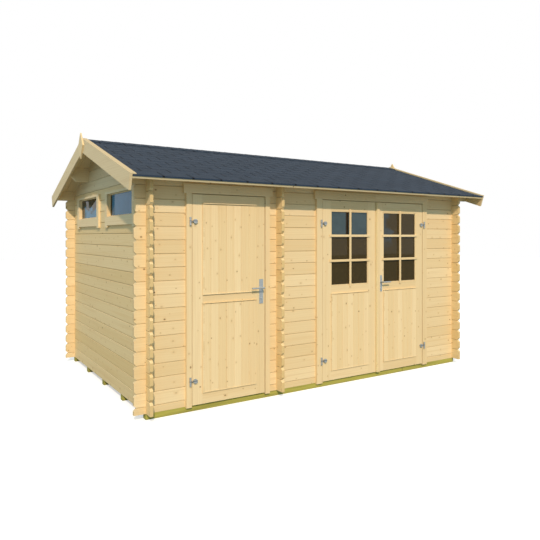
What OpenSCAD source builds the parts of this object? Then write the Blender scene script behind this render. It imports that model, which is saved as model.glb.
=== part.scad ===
// Log summerhouse with a store room, a single door and glazed double doors.
// Lengths are in millimetres. Z is up and the doors face -Y.

/* [Walls] */
// Outside length of the log walls along X
wall_length = 3820; // [3180:10:4800]
// Outside depth of the log walls along Y
wall_depth = 2510; // [2090:10:3100]
// Height of one wall log
log_height = 114; // [94:1:138]
// Thickness of the wall logs
log_thickness = 28; // [22:1:45]
// Whole log rows in the side walls
log_rows = 17; // [14:1:20]
// How far log ends run past the corners
log_overhang = 100; // [70:5:140]
// 45 degree cut on the log ends
end_chamfer = 23; // [5:1:28]
// Depth of the V groove at each log joint
groove = 5; // [2:0.5:7]
// Clear inside width of the store room
store_width = 1250.5; // [1200:0.5:1500]

/* [Floor] */
// Height of the floor bearers
bearer_height = 50; // [40:1:70]
// Width of the floor bearers
bearer_width = 60; // [45:1:90]
// Thickness of the floor boards
floor_thickness = 18; // [14:1:28]

/* [Roof] */
// Roof slope in degrees
roof_pitch = 18.2; // [14:0.1:24]
// Height of the roof underside over the last whole log
roof_rise = 41; // [34:1:60]
// Roof overhang past the front and back walls
eave_overhang = 248; // [190:1:320]
// Roof overhang past the left end wall
gable_overhang = 211; // [160:1:280]
// How much further the roof runs past the right end wall
right_extra = 40; // [0:1:70]
// Thickness of the roof boards
roof_board = 18; // [14:1:28]
// Thickness of the shingle layer
shingle = 10; // [4:0.5:12]
// Drop of the shingle edge over the eave strip
shingle_lip = 2; // [1:0.5:6]
// Width of the shingle strip over the ridge, each side
ridge_strip = 120; // [80:5:200]
// Thickness of the shingle strip over the ridge
ridge_thickness = 7; // [4:0.5:10]
// Distance of the side purlins from the ridge
purlin_offset = 600; // [450:5:740]
// Width of the purlins
purlin_width = 45; // [36:1:70]
// Depth of the purlins
purlin_depth = 138; // [100:1:168]

/* [Roof trim] */
// Width of the bargeboards
barge_width = 121; // [95:1:160]
// Thickness of the bargeboards
barge_thickness = 20; // [14:1:28]
// Width of the capping on the bargeboards
cap_width = 50; // [38:1:70]
// Thickness of the capping
cap_thickness = 13; // [11:1:24]
// Half width of the ridge diamond
diamond_half = 92; // [70:1:120]
// Height of the ridge diamond
diamond_height = 259; // [210:1:315]
// Rise of the diamond over the capping
diamond_rise = 50; // [30:1:70]
// Thickness of the ridge diamond
diamond_thickness = 15; // [10:1:24]
// Depth of the eave strips
eave_strip = 18; // [14:1:26]

/* [Doors] */
// Clear width of the single door frame
single_width = 743; // [610:1:860]
// Clear width of the double door frame
double_width = 1446; // [1200:1:1520]
// Drop of the door heads below the top log
head_drop = 56; // [36:1:75]
// Thickness of the door leaves
leaf_thickness = 40; // [32:1:48]
// Thickness of the door panels
panel_thickness = 16; // [10:1:24]
// Width of the single door stiles
single_stile = 95; // [75:1:120]
// Width of the double door stiles
double_stile = 105; // [85:1:130]
// Height of the lock rail above the floor bearers
lock_rail_height = 870; // [720:5:1050]
// Depth of the lock rail
lock_rail = 85; // [60:1:110]
// Depth of the other rails
rail = 92; // [70:1:115]
// Thickness of the glass
glass = 4; // [3:0.5:6]
// Width of the batten on the meeting stile
batten_width = 40; // [30:1:50]
// Thickness of that batten
batten_thickness = 20; // [12:1:26]

/* [Door furniture] */
// Diameter of the hinge barrels
barrel_d = 17; // [14:0.5:22]
// Height of the hinge barrels
barrel_height = 72; // [58:1:90]
// Diameter of the hinge pins
pin_d = 8; // [6:0.5:10]
// Diameter of the hinge bosses on the leaves
boss_d = 38; // [31:1:46]
// Diameter of the lever handles
lever_d = 14; // [10:0.5:17]
// Length of the lever on the single door
single_lever = 125; // [100:1:150]
// Length of the lever on the double doors
double_lever = 100; // [80:1:125]

/* [End windows] */
// Distance of the front window frame from the front wall face
window_front = 222; // [150:1:300]
// Distance of the back window frame from the back wall face
window_back = 252; // [150:1:300]
// Wall strip between the two window frames
window_gap = 236; // [150:1:300]
// Width of the window frame boards
window_board = 72; // [55:1:90]

/* [Hidden] */
t = log_thickness;
p = log_height;
eps = 1;
h_side = log_rows * p;                 // top of the last whole side log
h_front = (log_rows - 0.5) * p;        // underside of the top front log
store_x = t + store_width;             // left face of the partition
room_x = store_x + t;
crossings = [0, store_x, wall_length - t];

// roof lines, above the bearers
mid = wall_depth / 2;
tan_r = tan(roof_pitch);
cos_r = cos(roof_pitch);
sin_r = sin(roof_pitch);
drip = 5;
roof_z0 = h_side + roof_rise;          // underside at the front wall face
eave_y = -(eave_overhang - (roof_board + shingle) * sin_r - drip * cos_r);
function under(y) = roof_z0 + tan_r * y;
function on_roof(s, n) = [eave_y + s * cos_r - n * sin_r, under(eave_y) + s * sin_r + n * cos_r];
function at_ridge(n) = [mid, under(mid) + n / cos_r];
function to_back(pts) = [for (q = pts) [wall_depth - q[0], q[1]]];
strip_t = 12;
seat = 0.1;                            // sloped faces rest this close
top_n = roof_board + shingle;
ridge_n = top_n + ridge_thickness;
roof_x0 = -gable_overhang + barge_thickness;
roof_x1 = wall_length + right_extra - roof_x0;

// doors
jamb_single = 25;
jamb_double = 35;
casing_single = 50;
casing_double = 70;
casing_t = 25;
inner_t = 20;
header = 83;
single_x0 = store_x - 135.5 - single_width;
single_x1 = single_x0 + single_width;
double_x0 = (room_x + wall_length - t) / 2 - 11 - double_width / 2;
double_x1 = double_x0 + double_width;
head_z = h_front - head_drop;
leaf_y0 = -22;
leaf_y1 = leaf_y0 + leaf_thickness;
leaf_z0 = 6;
leaf_z1 = head_z - 6;
stop_y = leaf_y1 + 6;
hinge_gap = 5.5;
free_gap = 7.5;
meet_gap = 9;
single_leaf_x0 = single_x0 + hinge_gap;
single_leaf_x1 = single_x1 - free_gap;
left_leaf_x0 = double_x0 + hinge_gap;
left_leaf_x1 = (double_x0 + double_x1 - meet_gap) / 2;
right_leaf_x0 = left_leaf_x1 + meet_gap;
right_leaf_x1 = double_x1 - hinge_gap;
glass_y = leaf_y0 + 12;

// hinges: axis stands in front of the frame, just outside the leaf edge
axis_in = 23.5;
axis_y = leaf_y0 - 5 - barrel_d / 2;
pin_gap = 0.4;
boss_t = 18;
arm_d = 8;
hinge_low = 214;
hinge_top = head_z - 239;

// lever handles
plate_t = 3;
neck_d = 16;
stand = 48;
single_plate = [42, 225];
double_plate = [40, 173];
single_lever_x = single_leaf_x1 - 38.5;
single_lever_z = lock_rail_height + lock_rail / 2 + 70.5;
double_lever_x = right_leaf_x0 + batten_width + 4 + double_plate[0] / 2;
double_lever_z = lock_rail_height + lock_rail / 2 + 53.5;

// end windows
win_w = (wall_depth - window_front - window_back - window_gap) / 2;
win_y = [window_front, window_front + win_w + window_gap];
win_z0 = h_side - 3 * p;
win_z1 = h_front;
win_lining = 25;
win_proud = 21;

pine = [0.9, 0.78, 0.55];
side_pine = [0.84, 0.72, 0.48];
treated = [0.66, 0.64, 0.32];
slate = [0.32, 0.36, 0.41];
steel = [0.72, 0.75, 0.8];
clear = [0.45, 0.55, 0.62];

// ---------- shared shapes ----------

module place() translate([-(wall_length + right_extra) / 2, -wall_depth / 2, bearer_height]) children();
module along_x(x0, x1) translate([x0, 0, 0]) rotate([90, 0, 90]) linear_extrude(x1 - x0) children();
module along_y(y0, y1) translate([0, y1, 0]) rotate([90, 0, 0]) linear_extrude(y1 - y0) children();
module box(a, b) translate(a) cube(b - a);
module rect(a, b) translate(a) square(b - a);

function is_joint(z, first) = abs((z - first) / p - round((z - first) / p)) < 0.001;
function joints(first, z0, z1) =
    [for (k = [0 : log_rows + 8]) let (z = first + k * p) if (z > z0 + 0.5 && z < z1 - 0.5) z];

// one edge of a log stack, bottom to top: c is the chamfer, s the inward direction
function stack_edge(x, s, c, z0, z1, first) = concat(
    is_joint(z0, first) && z0 > 1 ? [[x + s * c, z0], [x, z0 + c]] : [[x, z0]],
    [for (j = joints(first, z0, z1)) each [[x, j - c], [x + s * c, j], [x, j + c]]],
    is_joint(z1, first) ? [[x, z1 - c], [x + s * c, z1]] : [[x, z1]]);
function plain_edge(x, z0, z1) = [[x, z0], [x, z1]];
function flip(v) = [for (k = [len(v) - 1 : -1 : 0]) v[k]];
function stack(a, b) = concat(b, flip(a));

// wall thickness section with a V groove at every joint
module log_section(u0, z0, z1, first)
    polygon(stack(stack_edge(u0, 1, groove, z0, z1, first), stack_edge(u0 + t, -1, groove, z0, z1, first)));

// front and back logs are centred on whole rows, side logs on half rows: each keeps its
// middle half where they cross, so the notches close face to face
module side_notches(z0) for (y = [0, wall_depth - t]) for (k = [0 : log_rows])
    rect([y, k == 0 ? -eps : (k - 0.25) * p],
         [y + t, k == log_rows ? h_side + eps : (k + 0.25) * p]);

module front_logs(a, b, z0, z1, y)
    intersection() {
        along_y(y, y + t) difference() {
            polygon(stack(a, b));
            for (x = crossings) for (k = [0 : log_rows - 1])
                rect([x, (k + 0.25) * p], [x + t, (k + 0.75) * p]);
        }
        along_x(-600, wall_length + 600) log_section(y, z0, z1, p / 2);
    }

module side_outline(z0, z1)
    polygon(stack(stack_edge(-log_overhang, 1, end_chamfer, z0, z1, 0),
                  stack_edge(wall_depth + log_overhang, -1, end_chamfer, z0, z1, 0)));

module gable_outline() difference() {
    polygon([[t, h_side], [wall_depth - t, h_side], [wall_depth - t, under(t)], at_ridge(0), [t, under(t)]]);
    purlin_slots();
}

module purlin_slots() {
    for (y = [mid - purlin_offset, mid + purlin_offset])
        rect([y - purlin_width / 2, under(mid - purlin_offset) - purlin_depth], [y + purlin_width / 2, under(mid) + 50]);
    rect([mid - purlin_width / 2, under(mid) - purlin_depth], [mid + purlin_width / 2, under(mid) + 50]);
}

module side_logs(x, z0, z1) intersection() {
    along_x(x, x + t) difference() { children(); side_notches(z0); }
    along_y(-600, wall_depth + 600) log_section(x, z0, z1, 0);
}

module below_roof() along_x(-600, wall_length + 600)
    polygon([[-600, -10], [wall_depth + 600, -10], [wall_depth + 600, under(-600)], at_ridge(0), [-600, under(-600)]]);

// ---------- base ----------

module bearers() color(treated) place()
    for (k = [0 : 4]) let (y = k * (wall_depth - bearer_width) / 4)
        box([0, y, -bearer_height], [wall_length, y + bearer_width, 0]);

module floor() color(pine) place() for (x = [[t, store_x], [room_x, wall_length - t]])
    box([x[0], t, 0], [x[1], wall_depth - t, floor_thickness]);

// ---------- walls ----------

module front_wall_left() color(pine) place()
    front_logs(stack_edge(-log_overhang, 1, end_chamfer, 0, h_front, p / 2),
               plain_edge(single_x0 - jamb_single, 0, h_front), 0, h_front, 0);

module front_wall_middle() color(pine) place()
    front_logs(plain_edge(single_x1 + jamb_single, 0, h_front),
               plain_edge(double_x0 - jamb_double, 0, h_front), 0, h_front, 0);

module front_wall_right() color(pine) place()
    front_logs(plain_edge(double_x1 + jamb_double, 0, h_front),
               stack_edge(wall_length + log_overhang, -1, end_chamfer, 0, h_front, p / 2), 0, h_front, 0);

module top_log(y) intersection() {
    along_y(y, y + t) difference() {
        rect([roof_x0, h_front], [roof_x1, h_front + 2 * p]);
        for (x = crossings) rect([x, h_front - eps], [x + t, h_front + p / 4]);
    }
    along_x(-600, wall_length + 600) log_section(y, h_front, h_front + p * 0.99, p / 2);
    below_roof();
}

module front_wall_top() color(pine) place() top_log(0);

module back_wall() color(pine) place()
    front_logs(stack_edge(-log_overhang, 1, end_chamfer, 0, h_front, p / 2),
               stack_edge(wall_length + log_overhang, -1, end_chamfer, 0, h_front, p / 2),
               0, h_front, wall_depth - t);
module back_wall_top() color(pine) place() top_log(wall_depth - t);

module left_wall() color(side_pine) place() side_logs(0, 0, win_z0) side_outline(0, win_z0);

module left_wall_windows() color(side_pine) place() side_logs(0, win_z0, h_side) difference() {
    side_outline(win_z0, h_side);
    for (y = win_y) rect([y + window_board - win_lining, win_z0 - eps],
                         [y + win_w - window_board + win_lining, win_z1]);
}

module left_gable() color(side_pine) place() side_logs(0, h_side, h_side + 9 * p) gable_outline();

module partition() color(side_pine) place() full_side(store_x);
module right_wall() color(side_pine) place() full_side(wall_length - t);

module full_side(x) side_logs(x, 0, h_side + 9 * p) {
    union() {
        polygon(stack(stack_edge(-log_overhang, 1, end_chamfer, 0, h_side, 0),
                      stack_edge(wall_depth + log_overhang, -1, end_chamfer, 0, h_side, 0)));
        gable_outline();
    }
}

// ---------- roof ----------

module purlin_ends(z0) along_y(-600, wall_depth + 600)
    polygon([[roof_x0, under(mid) + 50], [roof_x0, z0 + 60], [roof_x0 + 60, z0],
             [roof_x1 - 60, z0], [roof_x1, z0 + 60], [roof_x1, under(mid) + 50]]);

module ridge_purlin() color(pine) place() intersection() {
    along_x(roof_x0, roof_x1) polygon([
        [mid - purlin_width / 2, under(mid) - purlin_depth], [mid + purlin_width / 2, under(mid) - purlin_depth],
        [mid + purlin_width / 2, under(mid - purlin_width / 2)], at_ridge(0),
        [mid - purlin_width / 2, under(mid - purlin_width / 2)]]);
    purlin_ends(under(mid) - purlin_depth);
}

function purlin_pts() = let (y = mid - purlin_offset, w = purlin_width / 2, z = under(y) - purlin_depth)
    [[y - w, z], [y + w, z], [y + w, under(y + w)], [y - w, under(y - w)]];

module side_purlins() color(pine) place() for (q = [purlin_pts(), to_back(purlin_pts())]) intersection() {
    along_x(roof_x0, roof_x1) polygon(q);
    purlin_ends(under(mid - purlin_offset) - purlin_depth);
}

function layer(s, n0, n1) = [on_roof(s, n0), at_ridge(n0), at_ridge(n1), on_roof(s, n1)];

module roof_boards_front() color(pine) place() along_x(roof_x0, roof_x1) polygon(layer(strip_t, seat, roof_board));
module roof_boards_back() color(pine) place() along_x(roof_x0, roof_x1) polygon(to_back(layer(strip_t, seat, roof_board)));
// the shingle layer turns down over the eave strip as a thin lip
shingle_pts = [on_roof(-drip, roof_board - shingle_lip), on_roof(-seat, roof_board - shingle_lip),
    on_roof(-seat, roof_board + seat), at_ridge(roof_board + seat), at_ridge(top_n), on_roof(-drip, top_n)];
module shingles_front() color(slate) place() along_x(roof_x0, roof_x1) polygon(shingle_pts);
module shingles_back() color(slate) place() along_x(roof_x0, roof_x1) polygon(to_back(shingle_pts));

module ridge_cap() color(slate) place() along_x(cap_x1, wall_length + right_extra - cap_x1) {
    q = ridge_strip * cos_r;
    z = under(mid - q) + (top_n + seat) / cos_r;
    polygon([[mid - q, z], at_ridge(top_n + seat), [mid + q, z],
             [mid + q, under(mid - q) + ridge_n / cos_r], at_ridge(ridge_n),
             [mid - q, under(mid - q) + ridge_n / cos_r]]);
}

cap_x0 = -gable_overhang;
cap_x1 = cap_x0 + cap_width;

module both_ends(x0, x1) for (q = [[x0, x1], [wall_length + right_extra - x1, wall_length + right_extra - x0]])
    along_x(q[0], q[1]) children();

module bargeboards_front() color(pine) place() both_ends(cap_x0, roof_x0) polygon(layer(0, top_n - barge_width, top_n));
module bargeboards_back() color(pine) place() both_ends(cap_x0, roof_x0) polygon(to_back(layer(0, top_n - barge_width, top_n)));
module barge_caps_front() color(pine) place() both_ends(cap_x0, cap_x1) polygon(layer(0, top_n + seat, top_n + cap_thickness));
module barge_caps_back() color(pine) place() both_ends(cap_x0, cap_x1) polygon(to_back(layer(0, top_n + seat, top_n + cap_thickness)));

module ridge_diamonds() color(pine) place() both_ends(cap_x0 - diamond_thickness, cap_x0) {
    z = under(mid) + (top_n + cap_thickness) / cos_r + diamond_rise;
    polygon([[mid, z - diamond_height], [mid + diamond_half, z - 0.52 * diamond_height], [mid, z],
             [mid - diamond_half, z - 0.52 * diamond_height]]);
}

module eave_strips() color(pine) place() for (q = [0, 1]) {
    pts = [on_roof(0, roof_board - eave_strip), on_roof(strip_t - seat, roof_board - eave_strip),
           on_roof(strip_t - seat, roof_board), on_roof(0, roof_board)];
    along_x(roof_x0, roof_x1) polygon(q == 0 ? pts : to_back(pts));
}

// ---------- end windows ----------

module window_frames() color(pine) place() for (y = win_y) {
    a = y; b = y + win_w;
    i0 = a + window_board; i1 = b - window_board;
    z0 = win_z0 + 54; z1 = win_z1 - 12;
    along_x(-win_proud, 0) difference() {
        union() {
            rect([a, win_z0 - 53], [i0, win_z1 + 11]);
            rect([i1, win_z0 - 53], [b, win_z1 + 11]);
            rect([i0 - eps, win_z0 - 33], [i1 + eps, win_z1 + 11]);
        }
        rect([i0, z0], [i1, z1]);
    }
    along_x(-eps, t) difference() {
        rect([i0 - win_lining, win_z0], [i1 + win_lining, win_z1]);
        rect([i0, z0], [i1, z1]);
    }
}

module window_glass() color(clear) place() for (y = win_y)
    box([18, y + window_board, win_z0 + 54], [18 + glass, y + win_w - window_board, win_z1 - 12]);

// ---------- door frames ----------

module door_frame(x0, x1, jamb, casing, over0, over1) {
    along_y(-casing_t, 0) {
        rect([x0 - casing, -10], [x0, head_z + eps]);
        rect([x1, -10], [x1 + casing, head_z + eps]);
        rect([x0 - casing - over0, head_z], [x1 + casing + over1, head_z + header]);
    }
    along_y(-eps, t + eps) difference() {
        rect([x0 - jamb, floor_thickness], [x1 + jamb, h_front]);
        rect([x0, -eps], [x1, head_z]);
    }
    along_y(-eps, t) {
        rect([x0 - jamb, 0], [x0, floor_thickness + eps]);
        rect([x1, 0], [x1 + jamb, floor_thickness + eps]);
    }
    along_y(t, t + inner_t) difference() {
        rect([x0 - casing, floor_thickness], [x1 + casing, head_z + header]);
        rect([x0, -eps], [x1, head_z]);
    }
    along_y(stop_y, t + inner_t) difference() {
        rect([x0 - eps, floor_thickness], [x1 + eps, head_z + eps]);
        rect([x0 + 12, -eps], [x1 - 12, head_z - 12]);
    }
}

module single_door_frame() color(pine) place() door_frame(single_x0, single_x1, jamb_single, casing_single, 24, 30);
module double_door_frame() color(pine) place() door_frame(double_x0, double_x1, jamb_double, casing_double, 21, 24);

// ---------- door leaves ----------

module pocket(x0, x1, z0, z1) {
    d = (leaf_thickness - panel_thickness) / 2;
    box([x0, leaf_y0 - eps, z0], [x1, leaf_y0 + d, z1]);
    box([x0, leaf_y1 - d, z0], [x1, leaf_y1 + eps, z1]);
}

module single_door_leaf() color(pine) place() difference() {
    box([single_leaf_x0, leaf_y0, leaf_z0], [single_leaf_x1, leaf_y1, leaf_z1]);
    pocket(single_leaf_x0 + single_stile, single_leaf_x1 - single_stile, leaf_z0 + rail, lock_rail_height);
    pocket(single_leaf_x0 + single_stile, single_leaf_x1 - single_stile, lock_rail_height + lock_rail - 10, leaf_z1 - rail + 8);
}

light_z0 = lock_rail_height + lock_rail;
light_z1 = leaf_z1 - rail - 12;

module glazed_leaf(x0, x1) difference() {
    box([x0, leaf_y0, leaf_z0], [x1, leaf_y1, leaf_z1]);
    pocket(x0 + double_stile, x1 - double_stile, leaf_z0 + rail, lock_rail_height);
    box([x0 + double_stile, leaf_y0 - eps, light_z0], [x1 - double_stile, leaf_y1 + eps, light_z1]);
}

module light(x0, x1) box([x0 + double_stile, glass_y, light_z0], [x1 - double_stile, glass_y + glass, light_z1]);

module left_leaf() color(pine) place() glazed_leaf(left_leaf_x0, left_leaf_x1);
module right_leaf() color(pine) place() glazed_leaf(right_leaf_x0, right_leaf_x1);
module left_leaf_glass() color(clear) place() light(left_leaf_x0, left_leaf_x1);
module right_leaf_glass() color(clear) place() light(right_leaf_x0, right_leaf_x1);
module meeting_batten() color(pine) place()
    box([right_leaf_x0, leaf_y0 - batten_thickness, leaf_z0], [right_leaf_x0 + batten_width, leaf_y0, leaf_z1]);

// ---------- hinges and handles ----------

knuckle = barrel_height / 3;

// two fixed knuckles and a pin, held to the frame by two round feet
module hinge_pin(x, z) translate([x, axis_y, z]) {
    translate([0, 0, -barrel_height / 2]) cylinder(d = pin_d, h = barrel_height, $fn = 24);
    for (k = [-1, 1]) translate([0, 0, k * knuckle - knuckle / 2]) {
        cylinder(d = barrel_d, h = knuckle, $fn = 32);
        translate([0, 0, knuckle / 2]) rotate([-90, 0, 0]) cylinder(d = 10, h = -axis_y - casing_t, $fn = 24);
    }
}

// turning knuckle, arm and boss on the leaf: s points from the axis to the leaf
module hinge_arm(x, z, s) translate([x, axis_y, z]) difference() {
    union() {
        translate([0, 0, -knuckle / 2 + pin_gap]) cylinder(d = barrel_d, h = knuckle - 2 * pin_gap, $fn = 32);
        rotate([0, s * 90, 0]) cylinder(d = arm_d, h = 2 * axis_in, $fn = 24);
        translate([s * 2 * axis_in, leaf_y0 - boss_t - axis_y, 0]) rotate([-90, 0, 0]) cylinder(d = boss_d, h = boss_t, $fn = 40);
    }
    translate([0, 0, -barrel_height]) cylinder(d = pin_d + 2 * pin_gap, h = 2 * barrel_height, $fn = 24);
}

module single_hinge_pins() color(steel) place() for (z = [hinge_low, hinge_top])
    hinge_pin(single_leaf_x0 - axis_in, z);
module double_hinge_pins() color(steel) place() for (z = [hinge_low, hinge_top])
    for (x = [left_leaf_x0 - axis_in, right_leaf_x1 + axis_in]) hinge_pin(x, z);
module single_hinge_arms() color(steel) place() for (z = [hinge_low, hinge_top])
    hinge_arm(single_leaf_x0 - axis_in, z, 1);
module left_hinge_arms() color(steel) place() for (z = [hinge_low, hinge_top])
    hinge_arm(left_leaf_x0 - axis_in, z, 1);
module right_hinge_arms() color(steel) place() for (z = [hinge_low, hinge_top])
    hinge_arm(right_leaf_x1 + axis_in, z, -1);

module plate(x, z, size, drop, key) translate([x, leaf_y0, z]) difference() {
    box([-size[0] / 2, -plate_t, -drop], [size[0] / 2, 0, size[1] - drop]);
    translate([0, -plate_t - eps, 0]) rotate([-90, 0, 0]) cylinder(d = neck_d + 1, h = plate_t + 2 * eps, $fn = 32);
    translate([0, -plate_t - eps, key]) rotate([-90, 0, 0]) cylinder(d = 9, h = plate_t + 2 * eps, $fn = 24);
}

module lever(x, z, s, len) translate([x, leaf_y0, z]) {
    translate([0, -stand - plate_t, 0]) rotate([-90, 0, 0]) cylinder(d = neck_d, h = stand + plate_t - 0.4, $fn = 32);
    translate([-s * neck_d / 2, -stand - plate_t, 0]) rotate([0, s * 90, 0]) cylinder(d = lever_d, h = len + neck_d / 2, $fn = 32);
}

module single_door_plate() color(steel) place()
    plate(single_lever_x, single_lever_z, single_plate, 147, -98);
module right_leaf_plate() color(steel) place()
    plate(double_lever_x, double_lever_z, double_plate, 102, -72);
module single_door_lever() color(steel) place() lever(single_lever_x, single_lever_z, -1, single_lever);
module right_leaf_lever() color(steel) place() lever(double_lever_x, double_lever_z, 1, double_lever);

// ---------- choose ----------

bearers();
floor();
front_wall_left();
front_wall_middle();
front_wall_right();
front_wall_top();
back_wall();
back_wall_top();
left_wall();
left_wall_windows();
left_gable();
partition();
right_wall();
ridge_purlin();
side_purlins();
roof_boards_front();
roof_boards_back();
shingles_front();
shingles_back();
ridge_cap();
bargeboards_front();
bargeboards_back();
barge_caps_front();
barge_caps_back();
ridge_diamonds();
eave_strips();
window_frames();
window_glass();
single_door_frame();
double_door_frame();
single_door_leaf();
left_leaf();
right_leaf();
left_leaf_glass();
right_leaf_glass();
meeting_batten();
single_hinge_pins();
double_hinge_pins();
single_hinge_arms();
left_hinge_arms();
right_hinge_arms();
single_door_plate();
right_leaf_plate();
single_door_lever();
right_leaf_lever();
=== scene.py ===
"""Looks of a log garden summerhouse: timber, shingles, boards, window bars and door furniture."""

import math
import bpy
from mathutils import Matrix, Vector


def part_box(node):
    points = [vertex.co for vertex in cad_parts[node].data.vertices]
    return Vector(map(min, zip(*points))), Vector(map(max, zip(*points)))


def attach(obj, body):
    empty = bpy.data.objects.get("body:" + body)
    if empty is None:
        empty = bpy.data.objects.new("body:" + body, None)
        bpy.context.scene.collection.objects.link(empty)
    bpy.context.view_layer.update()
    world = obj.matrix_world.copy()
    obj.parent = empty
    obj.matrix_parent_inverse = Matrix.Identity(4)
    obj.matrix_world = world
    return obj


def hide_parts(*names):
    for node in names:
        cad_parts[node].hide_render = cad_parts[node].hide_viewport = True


bl_info = {
    "name": "Log summerhouse",
    "version": (1, 0, 0),
    "blender": (4, 5, 0),
    "location": "3D View > Sidebar > Summerhouse",
    "description": "Finishes the packed frame of a log summerhouse",
    "category": "Object",
}

import bpy
from mathutils import Vector

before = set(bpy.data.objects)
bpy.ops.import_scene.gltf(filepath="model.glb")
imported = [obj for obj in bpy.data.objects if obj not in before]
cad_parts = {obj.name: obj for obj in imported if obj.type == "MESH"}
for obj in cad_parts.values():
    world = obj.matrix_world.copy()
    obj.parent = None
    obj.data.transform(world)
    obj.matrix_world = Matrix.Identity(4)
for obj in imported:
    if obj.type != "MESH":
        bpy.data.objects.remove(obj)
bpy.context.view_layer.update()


# ---------- places read from the frame, in metres ----------

PITCH = math.radians(18.2)
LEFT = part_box("left_wall")[0].x            # outer face of the window end wall
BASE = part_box("left_wall")[0].z            # underside of the logs
RIDGE_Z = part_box("shingles_front")[1].z    # top of the shingles at the ridge
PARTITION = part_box("partition")[0].x
REACH = -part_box("shingles_front")[0].y / math.cos(PITCH)    # ridge to eave along the slope
SLOTS = LEFT + 0.0586            # middle of the first slot of the lowest course
FIRST_COURSE = 0.164             # height that the lowest course shows
EAVE_GAP = 0.0006                # the courses stop this far inside the eave
LOG = 0.114                      # height of a log
WALL = 0.028                     # thickness of a log
LOCK = BASE + 0.870              # underside of the door rails at lock height
HINGES = (BASE + 0.2165, BASE + 1.5885)    # heights of the hinge discs
SINGLE_STILE = 0.095             # width of the stiles of the single door
PAIR_STILE = 0.105               # width of the stiles of the double doors
NEAR = 1e-5                      # coordinates closer than this are the same
LONG = 0.1                       # an edge over this runs the length of its board


# ---------- settings ----------

class SummerhouseSettings(bpy.types.PropertyGroup):
    timber: bpy.props.FloatVectorProperty(
        name="Timber", description="Colour of the planed logs and boards",
        subtype="COLOR", size=3, min=0, max=1, default=(0.80, 0.60, 0.305))
    treated: bpy.props.FloatVectorProperty(
        name="Treated timber", description="Colour of the pressure treated floor bearers",
        subtype="COLOR", size=3, min=0, max=1, default=(0.42, 0.38, 0.075))
    slate: bpy.props.FloatVectorProperty(
        name="Shingles", description="Colour of the mineral face of the shingles",
        subtype="COLOR", size=3, min=0, max=1, default=(0.0208, 0.0320, 0.0492))
    steel: bpy.props.FloatVectorProperty(
        name="Steel", description="Colour of the hinges and handles",
        subtype="COLOR", size=3, min=0, max=1, default=(0.58, 0.64, 0.66))
    roof_board: bpy.props.FloatProperty(
        name="Roof board", description="Cover width of a roof board",
        default=0.088, min=0.06, max=0.14, subtype="DISTANCE", unit="LENGTH")
    floor_board: bpy.props.FloatProperty(
        name="Floor board", description="Cover width of a floor board",
        default=0.088, min=0.06, max=0.14, subtype="DISTANCE", unit="LENGTH")
    panel_board: bpy.props.FloatProperty(
        name="Door board", description="Cover width of a board in a door panel",
        default=0.077, min=0.05, max=0.1, subtype="DISTANCE", unit="LENGTH")
    tab: bpy.props.FloatProperty(
        name="Shingle tab", description="Width of one shingle tab and its slot",
        default=0.2545, min=0.2, max=0.34, subtype="DISTANCE", unit="LENGTH")
    exposure: bpy.props.FloatProperty(
        name="Shingle exposure", description="Height of shingle that each course shows",
        default=0.1225, min=0.1, max=0.15, subtype="DISTANCE", unit="LENGTH")
    bar: bpy.props.FloatProperty(
        name="Window bar", description="Width of the bars on the door glass",
        default=0.025, min=0.015, max=0.04, subtype="DISTANCE", unit="LENGTH")


def settings():
    return bpy.context.scene.summerhouse


# ---------- shader maths ----------

class Field:
    """A shader value that can be used in Python arithmetic."""

    def __init__(self, finish, socket):
        self.finish = finish
        self.socket = socket

    def maths(self, operation, *others):
        return self.finish.add("ShaderNodeMath", {"operation": operation}, self, *others)

    def __add__(self, other):
        return self.maths("ADD", other)

    def __sub__(self, other):
        return self.maths("SUBTRACT", other)

    def __mul__(self, other):
        return self.maths("MULTIPLY", other)

    def __truediv__(self, other):
        return self.maths("DIVIDE", other)

    def __rsub__(self, other):
        return self.finish.add("ShaderNodeMath", {"operation": "SUBTRACT"}, other, self)

    __radd__ = __add__
    __rmul__ = __mul__

    def floor(self):
        return self.maths("FLOOR")

    def fract(self):
        return self.maths("FRACT")

    def abs(self):
        return self.maths("ABSOLUTE")

    def sin(self):
        return self.maths("SINE")

    def sqrt(self):
        return self.maths("SQRT")

    def above(self, level):
        return self.maths("GREATER_THAN", level)

    def most(self, other):
        return self.maths("MAXIMUM", other)

    def ease(self, low, high):
        """0 below low, 1 above high, smooth between. Low may be the larger."""
        node = self.finish.nodes.new("ShaderNodeMapRange")
        node.interpolation_type = "SMOOTHSTEP"
        self.finish.put(node.inputs["Value"], self)
        if low <= high:
            node.inputs["From Min"].default_value, node.inputs["From Max"].default_value = low, high
        else:
            node.inputs["From Min"].default_value, node.inputs["From Max"].default_value = high, low
            node.inputs["To Min"].default_value, node.inputs["To Max"].default_value = 1, 0
        return Field(self.finish, node.outputs["Result"])


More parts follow.
